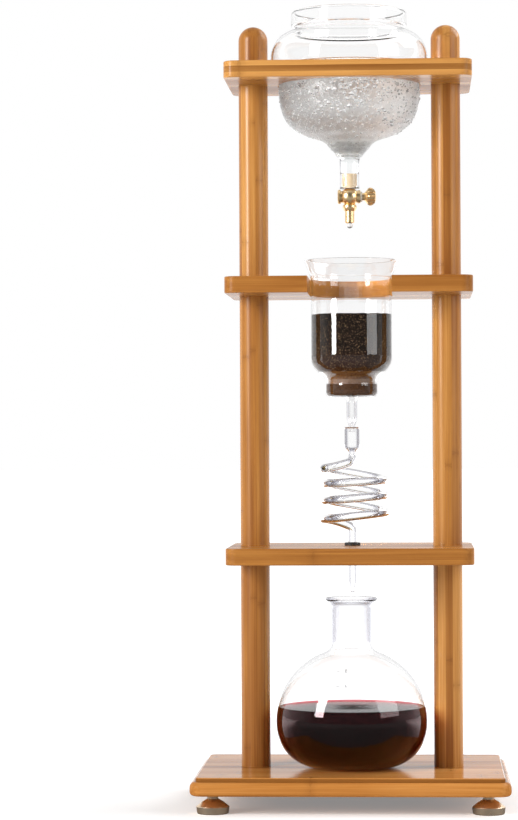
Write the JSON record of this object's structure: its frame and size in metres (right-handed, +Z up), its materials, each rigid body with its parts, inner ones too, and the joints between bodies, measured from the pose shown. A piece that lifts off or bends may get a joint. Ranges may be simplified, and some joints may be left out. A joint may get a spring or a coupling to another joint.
{
  "type": "cold drip coffee tower",
  "caption": "Bamboo frame with shelves that carries a glass water jar with a brass drip tap, a brewing beaker, a glass cooling coil and a round flask on the base.",
  "frame": {"origin": "on the floor, under the middle of the base", "axes": "+Z up, +X to the right side with the tap's knob, -Y to the front where the beaker's notch opens"},
  "size_m": [0.32, 0.231, 0.8133],
  "materials": {
    "board_bamboo": "satin varnish",
    "post_bamboo": "gloss varnish",
    "steel": "zinc plated",
    "insert_brass": "turned",
    "foot_brass": "polished",
    "tap_brass": "polished",
    "black_rubber": "matt",
    "cream_silicone": "satin",
    "white_plastic": "matt",
    "filter_ceramic": "unglazed",
    "clear_glass": "clear",
    "water": "clear liquid",
    "coffee": "dark liquid",
    "grounds": "coarse powder"
  },
  "bodies": {
    "frame": {"base_board": "board_bamboo", "coil_shelf": "board_bamboo", "beaker_shelf": "board_bamboo", "jar_shelf": "board_bamboo", "left_post_lower": "post_bamboo", "left_post_middle": "post_bamboo", "left_post_upper": "post_bamboo", "left_finial": "post_bamboo", "right_post_lower": "post_bamboo", "right_post_middle": "post_bamboo", "right_post_upper": "post_bamboo", "right_finial": "post_bamboo", "joint_studs": "steel", "thread_inserts": "insert_brass", "base_bolts": "steel", "base_washers": "steel", "foot_bushes": "insert_brass", "tube_grommet": "black_rubber"},
    "front_left_leveller": {"foot_front_left": "foot_brass"},
    "front_right_leveller": {"foot_front_right": "foot_brass"},
    "back_left_leveller": {"foot_back_left": "foot_brass"},
    "back_right_leveller": {"foot_back_right": "foot_brass"},
    "jar": {"water_jar": "clear_glass", "water": "water", "jar_stopper": "cream_silicone", "tap_body": "tap_brass", "tap_cap": "tap_brass", "tap_nozzle": "tap_brass"},
    "tap_key": {"tap_plug": "tap_brass", "tap_knob": "tap_brass", "knob_washer": "white_plastic", "plug_clip": "steel", "plug_seals": "black_rubber"},
    "beaker": {"brew_beaker": "clear_glass", "filter_disc": "filter_ceramic", "filter_gasket": "cream_silicone", "coffee_grounds": "grounds"},
    "coil": {"cooling_coil": "clear_glass"},
    "flask": {"serving_flask": "clear_glass", "brewed_coffee": "coffee"}
  },
  "joints": [
    {"name": "front_left_foot_screw", "type": "slide", "parent": "frame", "child": "front_left_leveller", "axis": [0, 0, 1], "range_m": [-0.006, 0]},
    {"name": "front_right_foot_screw", "type": "slide", "parent": "frame", "child": "front_right_leveller", "axis": [0, 0, 1], "range_m": [-0.006, 0]},
    {"name": "back_left_foot_screw", "type": "slide", "parent": "frame", "child": "back_left_leveller", "axis": [0, 0, 1], "range_m": [-0.006, 0]},
    {"name": "back_right_foot_screw", "type": "slide", "parent": "frame", "child": "back_right_leveller", "axis": [0, 0, 1], "range_m": [-0.006, 0]},
    {"name": "jar_lift", "type": "slide", "parent": "frame", "child": "jar", "axis": [0, 0, 1], "range_m": [0, 0.16]},
    {"name": "tap_turn", "type": "hinge", "parent": "jar", "child": "tap_key", "pos_m": [0, 0, 0.6227], "axis": [1, 0, 0], "continuous": true},
    {"name": "beaker_draw", "type": "slide", "parent": "frame", "child": "beaker", "axis": [0, -0.4226, 0.9063], "range_m": [0, 0.039]},
    {"name": "coil_lift", "type": "slide", "parent": "frame", "child": "coil", "axis": [0, 0, 1], "range_m": [0, 0.007]},
    {"name": "flask_draw", "type": "slide", "parent": "frame", "child": "flask", "axis": [0, -0.9994, 0.0349], "range_m": [0, 0.2]}
  ]
}
